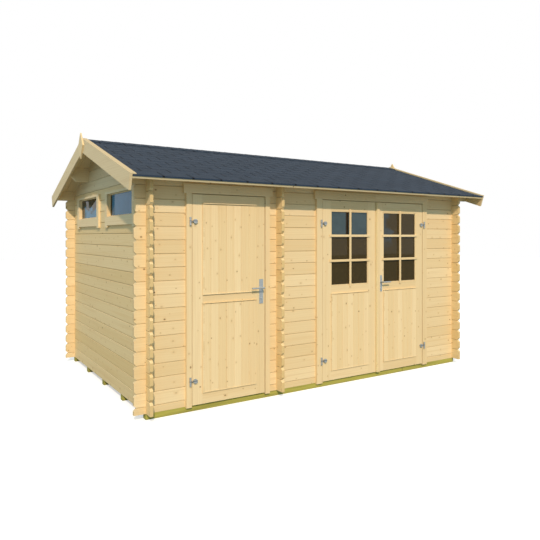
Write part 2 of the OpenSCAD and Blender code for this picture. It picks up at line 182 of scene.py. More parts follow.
class Finish:
    """A material under construction around one Principled shader."""

    def __init__(self, name, **constants):
        self.material = bpy.data.materials.new(name)
        self.material.use_nodes = True
        self.nodes = self.material.node_tree.nodes
        self.links = self.material.node_tree.links
        self.shader = self.nodes["Principled BSDF"]
        for socket, value in constants.items():
            self.shader.inputs[socket.replace("_", " ")].default_value = value
        self.coordinates = self.nodes.new("ShaderNodeTexCoord")

    def put(self, socket, value):
        if isinstance(value, Field):
            self.links.new(value.socket, socket)
        else:
            socket.default_value = value

    def add(self, kind, options, *values, output=0, **named):
        node = self.nodes.new(kind)
        for key, value in options.items():
            setattr(node, key, value)
        for socket, value in zip(node.inputs, values):
            self.put(socket, value)
        for key, value in named.items():
            self.put(node.inputs[key.replace("_", " ")], value)
        return Field(self, node.outputs[output])

    def split(self, output):
        node = self.nodes.new("ShaderNodeSeparateXYZ")
        self.links.new(self.coordinates.outputs[output], node.inputs[0])
        return [Field(self, socket) for socket in node.outputs]

    def place(self):
        return self.split("Object")

    def facing(self):
        return self.split("Normal")

    def vector(self, x, y, z):
        return self.add("ShaderNodeCombineXYZ", {}, x, y, z)

    def noise(self, vector, scale=1.0, detail=2.0, roughness=0.5):
        return self.add("ShaderNodeTexNoise", {}, Vector=vector, Scale=scale, Detail=detail,
                        Roughness=roughness)

    def cells(self, vector, scale=1.0, randomness=1.0, output="Distance", flat=False):
        return self.add("ShaderNodeTexVoronoi", {"voronoi_dimensions": "2D" if flat else "3D"},
                        Vector=vector, Scale=scale, Randomness=randomness, output=output)

    def chance(self, value):
        """A random number from 0 to 1 for each whole value."""
        return self.add("ShaderNodeTexWhiteNoise", {"noise_dimensions": "1D"}, W=value, output="Value")

    def blend(self, factor, first, second, mode="MIX"):
        node = self.nodes.new("ShaderNodeMix")
        node.data_type = "RGBA"
        node.blend_type = mode
        self.put(node.inputs["Factor"], factor)
        for name, value in (("A", first), ("B", second)):
            sockets = [s for s in node.inputs if s.name == name and s.type == "RGBA"]
            self.put(sockets[0], self.colour(value))
        return Field(self, [s for s in node.outputs if s.type == "RGBA"][0])

    @staticmethod
    def colour(value):
        if isinstance(value, Field):
            return value
        return (*value, 1.0) if len(value) == 3 else tuple(value)

    def bump(self, height, distance, strength):
        return self.add("ShaderNodeBump", {}, Height=height, Distance=distance, Strength=strength)

    def give(self, **inputs):
        for socket, value in inputs.items():
            self.put(self.shader.inputs[socket.replace("_", " ")], value)
        return self.material


def shade(colour, factor):
    return tuple(min(1.0, channel * factor) for channel in colour)


def tinted(colour, tint, amount):
    return tuple(a * (1 - amount) + b * amount for a, b in zip(colour, tint))


# ---------- timber ----------

STRAW = (0.9, 0.75, 0.47)        # tints of the wood
HONEY = (0.66, 0.38, 0.13)
RUST = (0.82, 0.5, 0.28)
AMBER = (0.7, 0.42, 0.16)
KNOT = (0.17, 0.075, 0.02)


def timber(name, colour, along, across, through, board, seed, knots=1.0, ends=None, joint=None,
           edge=None):
    """Planed softwood. along, across and through pick the coordinates that run with the grain, over
    the face and into the wood. board gives a whole number for each board, and seed changes what is
    drawn for it. knots is how common knots are, ends picks the direction that end grain faces, joint
    is the height of a log joint over the base and the strength of the dark line of painted shade
    along it, and edge is the brightness of a painted highlight on faces toward -X."""
    f = Finish(name, Specular_IOR_Level=0.35)
    xyz = f.place()
    normal = f.facing()
    u, v, w = along(xyz), across(xyz), through(xyz)
    lot = f.chance(board(xyz) + seed)
    lot2 = f.chance(board(xyz) + seed + 57.0)
    u = u + lot * 9.0
    wander = f.noise(f.vector(u * 1.3, v * 3.0, lot * 20.0), 1.0, 2.0)
    spots = f.vector(u * 6.6, v * 9.0 + lot * 31.0, 0.0)
    spot = f.cells(spots, randomness=0.95, flat=True)
    dice = f.cells(spots, randomness=0.95, output="Color", flat=True)
    rarity, breadth, depth = (f.add("ShaderNodeSeparateColor", {}, dice, output=k) for k in range(3))
    size = breadth * 0.042 + 0.03
    present = 1.0 - rarity.ease(0.7 * knots, 0.74 * knots)
    reach = spot / size
    knot = (1.0 - reach.ease(0.7, 1.2)) * present
    halo = (1.0 - reach.ease(1.1, 3.6)) * present
    swirl = halo * 0.014
    rings = ((v + w * 0.6 + swirl + wander * 0.03) * 300.0 + wander * 9.0).sin() * 0.5 + 0.5
    fibre = f.noise(f.vector(u * 14.0, v * 700.0, w * 700.0), 1.0, 3.0, 0.65)
    streak = f.noise(f.vector(u * 0.9, v * 26.0 + swirl * 40.0, w * 26.0 + lot * 7.0), 1.0, 3.0, 0.6)
    band = f.noise(f.vector(u * 0.5, v * 60.0, w * 60.0 + lot * 3.0), 1.0, 2.0, 0.7)
    patch = f.noise(f.vector(u * 1.6, v * 5.0, w * 5.0), 1.0, 1.0)
    pale = tinted(shade(colour, 1.1), STRAW, 0.45)
    warm = tinted(colour, HONEY, 0.26)
    base = f.blend(lot * 0.9, pale, shade(colour, 0.98))
    base = f.blend(streak.ease(0.46, 0.72) * 0.4, base, warm)
    base = f.blend(band.ease(0.5, 0.75) * 0.22, base, shade(warm, 0.9))
    base = f.blend(rings.ease(0.55, 1.0) * 0.12, base, shade(warm, 0.88))
    base = f.blend(patch.ease(0.45, 0.7) * 0.25 * lot2, base, tinted(colour, RUST, 0.25))
    base = f.blend(fibre.ease(0.5, 0.75) * 0.1, base, shade(warm, 0.78))
    base = f.blend(halo * 0.3, base, tinted(colour, AMBER, 0.4))
    base = f.blend(knot * (depth * depth * depth * 0.6 + 0.22), base, KNOT)
    height = fibre * 0.5 + rings * 0.3 + knot * 0.4
    roughness = fibre * 0.12 + 0.56
    if ends is not None:
        end = ends(normal).abs().ease(0.7, 0.9)
        ring = f.noise(f.vector(lot * 40.0, lot2 * 40.0, 0.0), 1.0, 0.0)
        pith = w + ring * 0.16 + 0.05
        radius = (v * v + pith * pith).sqrt()
        annual = (radius * 1500.0).sin() * 0.5 + 0.5
        grain = f.blend(annual * 0.3, shade(colour, 0.93), shade(warm, 0.76))
        base = f.blend(end, base, grain)
    # painted highlight: faces toward -X are given a paler copy of the wood colour
    if edge is not None:
        base = f.blend((normal[0] * -1.0).above(0.7), base, shade(pale, edge))
    # painted shade: a dark line along each log joint, where the groove lies in shade
    if joint is not None:
        first, strength = joint
        near = (((xyz[2] - (BASE + first)) / LOG).fract() - 0.5).abs()
        joint_shade = near.ease(0.5 - 0.0042 / LOG, 0.5 - 0.0012 / LOG)
        base = f.blend(joint_shade * strength, base, shade(warm, 0.3))
    return f.give(Base_Color=base, Roughness=roughness, Normal=f.bump(height, 0.0005, 0.45))


def pick_x(xyz):
    return xyz[0]


def pick_y(xyz):
    return xyz[1]


def pick_z(xyz):
    return xyz[2]


def row_of(first):
    return lambda xyz: ((xyz[2] - (BASE + first)) / LOG).floor()


def board_of(axis, width, start):
    return lambda xyz: ((xyz[axis] - start) / width).floor()


def steady(value):
    return lambda xyz: xyz[0] * 0.0 + value


def side_of(axis):
    """A whole number that tells the pieces on the two sides of the middle apart."""
    return lambda xyz: xyz[axis].above(0.0)


def turned(test, axis, other):
    """Picks one coordinate, and the other one where the test gives 1."""
    def pick(xyz):
        there = test(xyz)
        return xyz[axis] * (1.0 - there) + xyz[other] * there
    return pick


def slate_finish(name, colour):
    s = settings()
    f = Finish(name, Specular_IOR_Level=0.25)
    x, y, z = f.place()
    granule = f.cells(f.vector(x, y, z), 620.0)
    speck = f.noise(f.vector(x, y, z), 900.0, 2.0, 0.7)
    stain = f.noise(f.vector(x * 2.0, y * 2.0, z * 2.0), 1.0, 3.0)
    up = y.abs() / math.cos(PITCH)
    row = ((REACH - EAVE_GAP - up - FIRST_COURSE) / s.exposure + 1.0).floor().most(0.0)
    along = (x - SLOTS) / s.tab - (row / 2.0).fract()
    lot = f.chance(along.floor() * 7.0 + row * 131.0 + y.above(0.0) * 977.0)
    lip = (up - REACH + 0.024).above(0.0)
    # painted highlight: faces toward ±Y, the course butts and the drip edge front, get a paler colour
    butt = (f.facing()[1].abs()).above(0.8)
    # dark marks along the tab slots and down the drip edge: partly the felt showing in the slot and partly
    # painted shade
    near = (along.fract() - 0.5).abs() + lip * (0.002 / s.tab)
    gap = near.ease(0.5 - 0.009 / s.tab, 0.5 - 0.0055 / s.tab)
    base = f.blend(lot, shade(colour, 0.9), shade(colour, 1.1))
    base = f.blend(speck.ease(0.45, 0.72) * 0.35, base, tinted(shade(colour, 1.8), (0.3, 0.36, 0.42), 0.25))
    base = f.blend(granule.ease(0.35, 0.05) * 0.4, base, shade(colour, 0.5))
    base = f.blend(stain.ease(0.45, 0.7) * 0.12, base, shade(colour, 0.85))
    base = f.blend(butt * 0.9, base, shade(colour, 1.9))
    base = f.blend(gap * (lip * 0.25 + 0.7), base, shade(colour, 0.15))
    return f.give(Base_Color=base, Roughness=speck * 0.1 + 0.82,
                  Normal=f.bump(granule * -1.0 + speck * 0.5, 0.0012, 0.6))


def steel_finish(name, colour, rough, metal=0.6, slot_shade_heights=()):
    """Satin zinc. The heights given after metal are where a dark band is painted across each hinge disc, as
    painted shade of a screw slot.
    """
    f = Finish(name, Metallic=metal)
    x, y, z = f.place()
    brushed = f.noise(f.vector(x * 40.0, y * 40.0, z * 900.0), 1.0, 2.0)
    cloud = f.noise(f.vector(x, y, z), 55.0, 2.0)
    base = f.blend(cloud.ease(0.4, 0.7) * 0.35, colour, shade(colour, 0.82))
    # painted shade: a dark band across the disc stands for the shade in a screw slot
    for height in slot_shade_heights:
        base = f.blend((z - height).abs().ease(0.0042, 0.0022) * 0.75, base, shade(colour, 0.2))
    return f.give(Base_Color=base, Roughness=brushed * 0.16 + (rough - 0.08) + cloud * 0.08,
                  Normal=f.bump(brushed, 0.0002, 0.25))


def glass_finish(name, low_tint, reflected_sky_tint, mirrored, shine=0.25, post=None):
    """Clear glass with a painted colour. The first tint is painted shade of the dark rooms behind it,
    mottled with a painted reflection of leaves. mirrored gives where a painted reflection of the sky
    shows in it, as the second tint, from the coordinates and a slow noise. post is the place of a dark
    upright strip of painted shadow in it."""
    f = Finish(name, IOR=1.52, Specular_IOR_Level=shine, Alpha=0.85)
    x, y, z = f.place()
    haze = f.noise(f.vector(x * 6.0, y * 6.0, z * 9.0), 1.0, 3.0, 0.6)
    leaf = f.noise(f.vector(x, y, z), 46.0, 2.0, 0.6)
    ripple = f.noise(f.vector(x, y, z), 1.3, 1.0)
    # painted reflection: a mottle of leaves over the dark tint
    base = f.blend(leaf.ease(0.5, 0.75) * 0.5, low_tint, shade(low_tint, 1.9))
    # painted reflection of the sky where mirrored gives it
    sky = mirrored(x, y, z, haze)
    base = f.blend(sky, base, f.blend(haze.ease(0.35, 0.7), reflected_sky_tint, shade(reflected_sky_tint, 0.85)))
    # painted shadow: a dark upright strip at post
    if post is not None:
        base = f.blend((x - post).abs().ease(0.02, 0.016) * sky, base, (0.024, 0.014, 0.004))
    return f.give(Base_Color=base, Roughness=haze * 0.03 + 0.01, Normal=f.bump(ripple, 0.004, 0.15))


# ---------- mesh helpers ----------

def clear_selection():
    if bpy.context.object and bpy.context.object.mode != "OBJECT":
        bpy.ops.object.mode_set(mode="OBJECT")
    bpy.ops.object.select_all(action="DESELECT")


def make_active(piece):
    clear_selection()
    piece.select_set(True)
    bpy.context.view_layer.objects.active = piece


def labelled(piece, name):
    piece.name = name
    piece.data.name = name
    return piece


def block(name, low, high):
    """A box between two corners, with its object at the origin."""
    low, high = Vector(low), Vector(high)
    clear_selection()
    bpy.ops.mesh.primitive_cube_add(size=1, location=(low + high) / 2, scale=high - low)
    bpy.ops.object.transform_apply(location=True, rotation=True, scale=True)
    return labelled(bpy.context.object, name)


def rod(name, start, end, radius, sides):
    start, end = Vector(start), Vector(end)
    clear_selection()
    turn = (end - start).to_track_quat("Z", "Y").to_euler()
    bpy.ops.mesh.primitive_cylinder_add(vertices=sides, radius=radius, depth=(end - start).length,
                                        location=(start + end) / 2, rotation=turn)
    bpy.ops.object.transform_apply(location=True, rotation=True, scale=True)
    return labelled(bpy.context.object, name)


def choose(piece, kind, mark):
    """Edit mode with only the edges or points selected that mark selects."""
    make_active(piece)
    bpy.ops.object.mode_set(mode="EDIT")
    bpy.ops.mesh.select_mode(type=kind)
    bpy.ops.mesh.select_all(action="DESELECT")
    bpy.ops.object.mode_set(mode="OBJECT")
    mark(piece.data)
    bpy.ops.object.mode_set(mode="EDIT")


def bevel_edges(piece, test, width, segments=1):
    """Bevels the edges whose two ends pass the test."""
    def mark(mesh):
        for edge in mesh.edges:
            edge.select = test(*(mesh.vertices[end].co for end in edge.vertices))

    choose(piece, "EDGE", mark)
    bpy.ops.mesh.bevel(offset=width, segments=segments, affect="EDGES")
    bpy.ops.object.mode_set(mode="OBJECT")
    return piece


def move_points(piece, test, shift):
    """Moves the points that pass the test."""
    def mark(mesh):
        for point in mesh.vertices:
            point.select = test(point.co)

    choose(piece, "VERT", mark)
    bpy.ops.transform.translate(value=shift)
    bpy.ops.object.mode_set(mode="OBJECT")


def bevel_all(piece, width, segments=2):
    make_active(piece)
    modifier = piece.modifiers.new("edge", "BEVEL")
    modifier.width = width
    modifier.segments = segments
    modifier.limit_method = "ANGLE"
    modifier.angle_limit = math.radians(30)
    bpy.ops.object.modifier_apply(modifier=modifier.name)
    return piece


def repeat(piece, step, count):
    make_active(piece)
    modifier = piece.modifiers.new("row", "ARRAY")
    modifier.use_relative_offset = False
    modifier.use_constant_offset = True
    modifier.constant_offset_displace = step
    modifier.count = count
    bpy.ops.object.modifier_apply(modifier=modifier.name)
    return piece


def copy_of(piece, name, shift=(0, 0, 0)):
    make_active(piece)
    bpy.ops.object.duplicate(linked=False)
    twin = labelled(bpy.context.object, name)
    twin.location = shift
    bpy.ops.object.transform_apply(location=True, rotation=False, scale=False)
    return twin


def joined(pieces, name):
    clear_selection()
    for piece in pieces:
        piece.select_set(True)
    bpy.context.view_layer.objects.active = pieces[0]
    bpy.ops.object.join()
    return labelled(bpy.context.object, name)


def bisect(piece, point, normal, **options):
    """Cuts the faces of a piece along a plane."""
    make_active(piece)
    bpy.ops.object.mode_set(mode="EDIT")
    bpy.ops.mesh.select_all(action="SELECT")
    bpy.ops.mesh.bisect(plane_co=point, plane_no=normal, **options)
    bpy.ops.object.mode_set(mode="OBJECT")


def cut(piece, point, outward):
    """Cuts off what lies outward of a plane and closes the ends."""
    bisect(piece, point, outward, use_fill=True, clear_outer=True)


def onto_roof(piece):
    """Turns a piece made flat, with its origin on the ridge, onto the front slope."""
    make_active(piece)
    piece.rotation_euler = (PITCH, 0, 0)
    piece.location = (0, 0, RIDGE_Z)
    bpy.ops.object.transform_apply(location=True, rotation=True, scale=True)


def mirrored_to_back(piece, name):
    twin = copy_of(piece, name)
    twin.scale = (1, -1, 1)
    bpy.ops.object.transform_apply(location=True, rotation=True, scale=True)
    bpy.ops.object.mode_set(mode="EDIT")
    bpy.ops.mesh.select_all(action="SELECT")
    bpy.ops.mesh.normals_make_consistent(inside=False)
    bpy.ops.object.mode_set(mode="OBJECT")
    return twin


def finish_piece(piece, material, body):
    piece.data.materials.clear()
    piece.data.materials.append(material)
    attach(piece, body)
    return piece


def dress(material, *nodes):
    """Gives CAD nodes their finish."""
    for node in nodes:
        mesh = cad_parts[node].data
        mesh.materials.clear()
        mesh.materials.append(material)


# ---------- operators ----------

class SUMMERHOUSE_OT_finishes(bpy.types.Operator):
    """Gives the logs, frames, doors, steel and glass of the frame their finishes"""
    bl_idname = "summerhouse.finishes"
    bl_label = "Finishes"

    def execute(self, context):
        s = settings()
        wood, zinc = tuple(s.timber), tuple(s.steel)
        self.walls(wood)
        self.roof_trim(wood)
        self.doors(wood)
        dress(self.window_timber(wood), "window_frames")
        dress(self.treated_timber(tuple(s.treated)), "bearers")
        dress(steel_finish("satin_zinc", shade(zinc, 0.8), 0.45),
              "single_door_plate", "right_leaf_plate", "single_door_lever", "right_leaf_lever")
        dull = shade(zinc, 0.72)
        dress(steel_finish("dull_zinc", dull, 0.45, 0.4), "single_hinge_pins", "double_hinge_pins")
        dress(steel_finish("disc_zinc", dull, 0.45, 0.4, HINGES),
              "single_hinge_arms", "left_hinge_arms", "right_hinge_arms")
        self.glass()
        return {"FINISHED"}

    def walls(self, wood):
        """The front and back logs lie half a log lower than those of the end walls."""
        lower = -LOG / 2
        fronts = ("front_wall_left", "front_wall_middle", "front_wall_right", "front_wall_top")
        for name, seed, nodes in (("front_logs", 3.0, fronts),
                                  ("back_logs", 83.0, ("back_wall", "back_wall_top"))):
            dress(timber(name, wood, pick_x, pick_z, pick_y, row_of(lower), seed, ends=pick_x,
                         joint=(lower, 0.4)), *nodes)
        # painted light: the logs of the end walls and partition get a warmer, less blue copy of the timber
        # colour, toned for the light that falls on those sides
        tan = (wood[0] * 1.01, wood[1] * 0.975, wood[2] * 0.84)
        dress(timber("side_logs", tan, pick_y, pick_z, pick_x, row_of(0.0), 41.0, ends=pick_y,
                     joint=(0.0, 0.55)),
              "left_wall", "left_wall_windows", "partition", "right_wall")
        # painted shade: the gable logs under the roof overhang are darker than the timber, with fainter joint
        # lines
        dress(timber("gable_logs_painted_shade", shade(wood, 0.85), pick_y, pick_z, pick_x, row_of(0.0), 43.0, knots=0.5,
                     ends=pick_y, joint=(0.0, 0.2)), "left_gable")

    def roof_trim(self, wood):
        # painted shade: the purlins under the roof are darker than the timber
        dress(timber("purlin_timber", shade(wood, 0.93), pick_x, pick_z, pick_y, side_of(1), 11.0,
                     knots=0.4, ends=pick_x), "ridge_purlin", "side_purlins")
        dress(timber("barge_timber", shade(wood, 0.865), pick_y, pick_z, pick_x, side_of(0), 23.0,
                     knots=0.35, ends=pick_z),
              "bargeboards_front", "bargeboards_back", "barge_caps_front", "barge_caps_back")
        dress(timber("diamond_timber", wood, pick_z, pick_y, pick_x, side_of(0), 29.0, knots=0.0),
              "ridge_diamonds")
        pale = (wood[0] * 0.8, wood[1] * 0.84, wood[2] * 0.88)
        dress(timber("strip_timber", pale, pick_x, pick_z, pick_y, side_of(1), 31.0, knots=0.3),
              "eave_strips")

    def doors(self, wood):
        dress(self.frame_timber("single_door_frame", wood, 47.0), "single_door_frame")
        dress(self.frame_timber("double_door_frame", wood, 53.0), "double_door_frame")
        dress(self.leaf_timber("single_door_leaf", wood, SINGLE_STILE, 64.0), "single_door_leaf")
        dress(self.leaf_timber("left_leaf", wood, PAIR_STILE, 67.0), "left_leaf")
        # the right leaf and the batten get a painted highlight on their faces toward -X
        dress(self.leaf_timber("right_leaf", wood, PAIR_STILE, 71.0, edge=1.2), "right_leaf")
        dress(timber("batten_timber", shade(wood, 1.04), pick_z, pick_x, pick_y, steady(2.0), 73.0,
                     knots=0.5, edge=1.2), "meeting_batten")

    def glass(self):
        """Painted shade of the dark rooms behind the door panes, with a painted reflection of the sky in the
        upper ones, and blue end windows with painted reflections.
        """
        painted_room_shade = (0.06, 0.042, 0.014)
        low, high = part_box("left_leaf_glass")
        third = high.z - 0.253
        middle = (low.x + high.x) / 2

        def left_reflection(x, y, z, haze):
            return (z + (haze - 0.5) * 0.02).ease(third - 0.01, third + 0.01)

        # the left door glass gets a painted shadow strip beside its middle bar
        dress(glass_finish("left_door_glass", painted_room_shade, (0.07, 0.11, 0.122), left_reflection, post=middle - 0.03),
              "left_leaf_glass")
        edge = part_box("right_leaf_glass")[0].x

        def right_reflection(x, y, z, haze):
            # painted reflection of the sky in a patch near the left edge of the upper panes
            patch = (x - edge + (haze - 0.5) * 0.5).ease(0.14, 0.07)
            return patch * (z + (haze - 0.5) * 0.3).ease(third - 0.16, third - 0.06)

        dress(glass_finish("right_door_glass", painted_room_shade, (0.062, 0.075, 0.078), right_reflection),
              "right_leaf_glass")
        low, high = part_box("window_glass")
        centre = (low.y + high.y) / 2
        level = (low.z + high.z) / 2
        inner = max(v.co.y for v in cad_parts["window_glass"].data.vertices if v.co.y < centre)

        def end_reflection(x, y, z, haze):
            """Painted reflection of the sky, with painted reflected trees over the rear pane, and painted
            shadow beside the far jamb of each pane.
            """
            rear = (y - centre).above(0.0)
            jamb = rear * (high.y - inner) + inner
            reflected_sky = (jamb - y - rear * 0.06).ease(0.045, 0.055)
            branch = (z + (haze - 0.5) * 0.35).ease(level, level - 0.05)
            return (1.0 - rear + rear * branch) * reflected_sky

        # end panes: a dark tint of painted shade under a painted blue reflection of the sky
        dress(glass_finish("window_pane", (0.05, 0.042, 0.022), (0.03, 0.215, 0.37), end_reflection, shine=0.12),
              "window_glass")

    def frame_timber(self, node, wood, seed):
        """Posts with upright grain under a header with level grain."""
        low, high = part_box(node)
        head = high.z - 0.075

        def level(xyz):
            return (xyz[2] - head).above(0.0)

        def board(xyz):
            return level(xyz) * 5.0 + (xyz[0] - (low.x + high.x) / 2).above(0.0)

        return timber(node + "_timber", wood, turned(level, 2, 0), turned(level, 0, 2), pick_y, board,
                      seed, knots=0.8)

    def leaf_timber(self, node, wood, stile, seed, edge=None):
        """Stiles with upright grain and rails with level grain between them."""
        low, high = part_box(node)

        def between(xyz):
            return (xyz[0] - (low.x + stile)).above(0.0) * (1.0 - (xyz[0] - (high.x - stile)).above(0.0))

        def board(xyz):
            rail = between(xyz)
            right = (xyz[0] - (low.x + high.x) / 2).above(0.0)
            return rail * ((xyz[2] * 2.2).floor() + 4.0) + (1.0 - rail) * right

        return timber(node + "_timber", wood, turned(between, 2, 0), turned(between, 0, 2), pick_y,
                      board, seed, knots=0.8, edge=edge)

    def window_timber(self, wood):
        """Jambs with upright grain between a sill and a head with level grain."""
        low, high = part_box("window_frames")
        sill = low.z + 0.105
        head = high.z - 0.025

        def level(xyz):
            return (1.0 - (xyz[2] - sill).above(0.0)) + (xyz[2] - head).above(0.0)

        def board(xyz):
            return (xyz[1] * 8.0).floor() * (1.0 - level(xyz)) + level(xyz) * 40.0

        return timber("window_timber", wood, turned(level, 2, 1), turned(level, 1, 2), pick_x, board,
                      59.0, knots=0.35)

    def treated_timber(self, colour):
        f = Finish("treated_timber", Specular_IOR_Level=0.3)
        x, y, z = f.place()
        fibre = f.noise(f.vector(x * 6.0, y * 300.0, z * 300.0), 1.0, 3.0)
        streak = f.noise(f.vector(x * 1.2, y * 30.0, z * 30.0), 1.0, 3.0)
        ribs = ((y + z) * 900.0).sin() * 0.5 + 0.5
        base = f.blend(streak.ease(0.35, 0.7), shade(colour, 1.15), shade(colour, 0.7))
        base = f.blend(fibre.ease(0.5, 0.75) * 0.35, base, shade(colour, 0.5))
        joint = LEFT + 2.96
        butt = (x - joint).abs().ease(0.003, 0.001)
        base = f.blend(butt, base, shade(colour, 0.15))
        return f.give(Base_Color=base, Roughness=fibre * 0.2 + 0.6,
                      Normal=f.bump(fibre + ribs * 0.5, 0.001, 0.5))


class SUMMERHOUSE_OT_roof_boards(bpy.types.Operator):
    """Lays the tongue and groove roof boards that show under the eaves and gables"""
    bl_idname = "summerhouse.roof_boards"
    bl_label = "Roof boards"

    def execute(self, context):
        s = settings()
        low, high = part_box("roof_boards_front")
        width = s.roof_board
        top, bottom = -0.0102, -0.0278    # heights from the top of the shingles
        eave, past_ridge = 0.0172 - REACH, 0.05
        gap, groove = 0.0006, 0.0045
        piece = block("roof_board", (low.x, eave, bottom), (low.x + width - gap, past_ridge, top))
        bevel_edges(piece, lambda a, b: abs(a.x - b.x) < NEAR and max(a.z, b.z) < bottom + NEAR
                    and abs(a.y - b.y) > LONG, groove)
        repeat(piece, (width, 0, 0), math.ceil((high.x - low.x) / width))
        cut(piece, (high.x, 0, 0), (1, 0, 0))
        onto_roof(piece)
        cut(piece, (0, -0.0002, 0), (0, 1, 0))
        piece.name = "front_roof_boards"
        # painted shade: the roof boards under the eaves and gables are darker than the timber
        finish = timber("roof_board_timber", shade(tuple(s.timber), 0.85), pick_y, pick_x, pick_z,
                        board_of(0, width, low.x), 5.0, knots=1.2)
        back = mirrored_to_back(piece, "back_roof_boards")
        finish_piece(piece, finish, "building")
        finish_piece(back, finish, "building")
        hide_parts("roof_boards_front")
        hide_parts("roof_boards_back")
        return {"FINISHED"}


class SUMMERHOUSE_OT_floor_boards(bpy.types.Operator):
    """Lays the floor boards of both rooms"""
    bl_idname = "summerhouse.floor_boards"
    bl_label = "Floor boards"

    def execute(self, context):
        s = settings()
        low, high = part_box("floor")
        width = s.floor_board
        gap, edge = 0.0008, 0.002
        rooms = []
        for room, start, stop in (("store", low.x, PARTITION), ("room", PARTITION + WALL, high.x)):
            board = block(room + "_floor", (start, low.y, low.z), (start + width - gap, high.y, high.z))
            bevel_edges(board, lambda a, b: abs(a.x - b.x) < NEAR and min(a.z, b.z) > high.z - NEAR, edge)
            repeat(board, (width, 0, 0), math.ceil((stop - start) / width))
            cut(board, (stop, 0, 0), (1, 0, 0))
            rooms.append(board)
        boards = joined(rooms, "floor_boards")
        finish_piece(boards, timber("floor_timber", tuple(s.timber), pick_y, pick_x, pick_z,
                                    board_of(0, width, low.x), 7.0), "building")
        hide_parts("floor")
        return {"FINISHED"}


class SUMMERHOUSE_OT_shingles(bpy.types.Operator):
    """Lays the courses of three tab shingles and the ridge shingles"""
    bl_idname = "summerhouse.shingles"
    bl_label = "Shingles"

    def execute(self, context):
        s = settings()
        low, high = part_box("shingles_front")
        slot, corner = 0.007, 0.006
        lap, thick, trim = 0.03, 0.0009, 0.0005
        sheet = FIRST_COURSE + lap
        first = SLOTS + slot / 2 - 2 * s.tab
        tab = block("shingle_tab", (first, 0, -thick), (first + s.tab - slot, sheet, 0))
        bevel_edges(tab, lambda a, b: max(a.y, b.y) < NEAR and abs(a.z - b.z) > NEAR, corner, 2)
        move_points(tab, lambda p: p.y > sheet - NEAR, (0, 0, -thick * sheet / s.exposure))
        strip = repeat(tab, (s.tab, 0, 0), math.ceil((high.x - low.x) / s.tab) + 3)
        courses = []
        for course in range(math.ceil((REACH - FIRST_COURSE) / s.exposure) + 1):
            rise = FIRST_COURSE + (course - 1) * s.exposure if course else 0
            shift = s.tab / 2 if course % 2 else 0
            courses.append(copy_of(strip, "course", (shift, EAVE_GAP - REACH + rise, -0.0002)))
        bpy.data.objects.remove(strip)
        # the lowest course is bent up over the drip edge
        move_points(courses[0], lambda p: p.y < 0.01 - REACH, (0, 0.0012, 0.005))
        felt = block("underlay", (low.x, EAVE_GAP - REACH, -0.0098), (high.x, 0.02, -0.0022))
        lip = block("drip_edge", (low.x, 0.0014 - REACH, -0.0100), (high.x, 0.0059 - REACH, 0.0036))
        for layer in (felt, lip):
            bevel_all(layer, 0.0003, 1)
        piece = joined(courses + [felt, lip], "front_shingles")
        cut(piece, (low.x + trim, 0, 0), (-1, 0, 0))
        cut(piece, (high.x - trim, 0, 0), (1, 0, 0))
        onto_roof(piece)
        cut(piece, (0, -0.0005, 0), (0, 1, 0))
        finish = slate_finish("shingle_mineral", tuple(s.slate))
        back = mirrored_to_back(piece, "back_shingles")
        finish_piece(piece, finish, "building")
        finish_piece(back, finish, "building")
        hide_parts("shingles_front")
        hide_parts("shingles_back")
        self.ridge(finish)
        return {"FINISHED"}

    def ridge(self, finish):
        low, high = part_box("ridge_cap")
        step, lap, dip = 0.14, 0.03, 0.002
        half = (high.y - low.y) / 2
        cap = block("ridge_tab", (low.x, -half, high.z - 0.005), (low.x + step + lap, half, high.z - 0.0006))
        bisect(cap, (0, 0, 0), (0, 1, 0))
        move_points(cap, lambda p: abs(p.y) > 0.01, (0, 0, -half * math.tan(PITCH)))
        move_points(cap, lambda p: p.x > low.x + step, (0, 0, -dip))
        repeat(cap, (step, 0, 0), math.ceil((high.x - low.x) / step))
        cut(cap, (high.x, 0, 0), (1, 0, 0))
        cap.name = "ridge_shingles"
        finish_piece(cap, finish, "building")
        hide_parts("ridge_cap")


